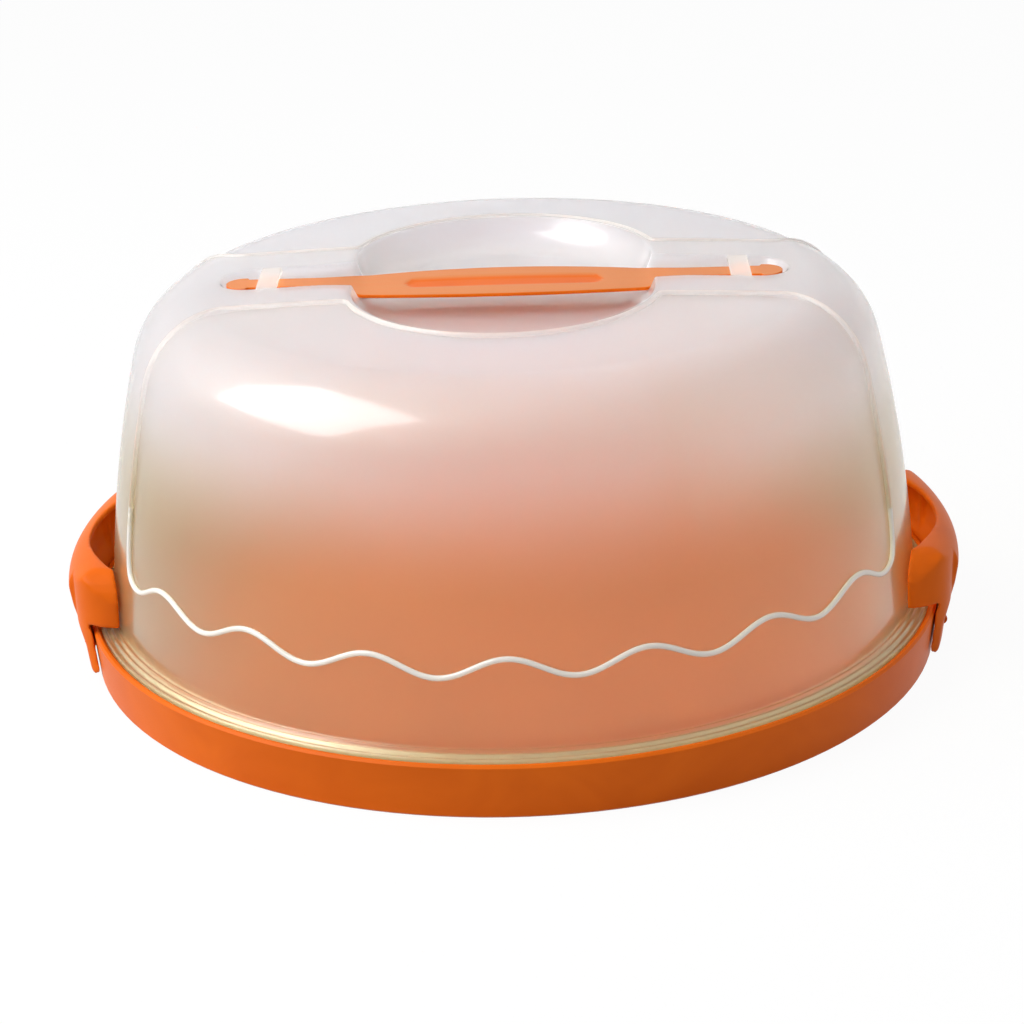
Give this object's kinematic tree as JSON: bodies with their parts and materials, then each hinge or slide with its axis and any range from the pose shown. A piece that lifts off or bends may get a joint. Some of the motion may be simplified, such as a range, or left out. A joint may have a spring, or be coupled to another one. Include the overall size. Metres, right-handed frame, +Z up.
{
  "type": "cake carrier",
  "caption": "Round cake carrier: plain orange tray, high translucent lift-off dome lid, two side latches and a flat carry strap on top.",
  "frame": {"origin": "centre of the tray's underside, on the surface it stands on", "axes": "+X from the left latch to the right latch, +Y from the front to the back, +Z up"},
  "size_m": [0.3372, 0.323, 0.1422],
  "materials": {
    "orange_pp": "satin moulded",
    "milky_pp": "translucent, semi-gloss"
  },
  "bodies": {
    "tray": {"base_tray": "orange_pp"},
    "lid": {"lid_dome": "milky_pp"},
    "left_latch": {"latch_left": "orange_pp"},
    "right_latch": {"latch_right": "orange_pp"},
    "strap": {"handle_grip": "orange_pp", "handle_arm_left": "orange_pp", "handle_arm_right": "orange_pp"},
    "strap_tip_left": {"handle_tip_left": "orange_pp"},
    "strap_tip_right": {"handle_tip_right": "orange_pp"}
  },
  "joints": [
    {"name": "lid_lift", "type": "slide", "parent": "tray", "child": "lid", "axis": [0, 0, 1], "range_m": [0, 0.032]},
    {"name": "latch_left_open", "type": "hinge", "parent": "tray", "child": "left_latch", "pos_m": [-0.1622, 0, 0.0054], "axis": [0, -1, 0], "range_deg": [0, 85]},
    {"name": "latch_right_open", "type": "hinge", "parent": "tray", "child": "right_latch", "pos_m": [0.1622, 0, 0.0054], "axis": [0, 1, 0], "range_deg": [0, 85]},
    {"name": "handle_lift", "type": "slide", "parent": "lid", "child": "strap", "axis": [0, 0, 1], "range_m": [0, 0.02], "stiffness_N_per_m": 100, "deforming": ["handle_arm_left", "handle_arm_right"]},
    {"name": "tip_left_slide", "type": "slide", "parent": "strap", "child": "strap_tip_left", "axis": [0.189, 0, -0.982], "range_m": [0, 0.02037]},
    {"name": "tip_right_slide", "type": "slide", "parent": "strap", "child": "strap_tip_right", "axis": [-0.189, 0, -0.982], "range_m": [0, 0.02037]}
  ],
  "couplings": [
    {"joint": "latch_left_open", "follows": "lid_lift", "rad_per_m": 46.36},
    {"joint": "latch_right_open", "follows": "lid_lift", "rad_per_m": 46.36},
    {"joint": "tip_left_slide", "follows": "handle_lift", "ratio": 1.0184},
    {"joint": "tip_right_slide", "follows": "handle_lift", "ratio": 1.0184}
  ]
}
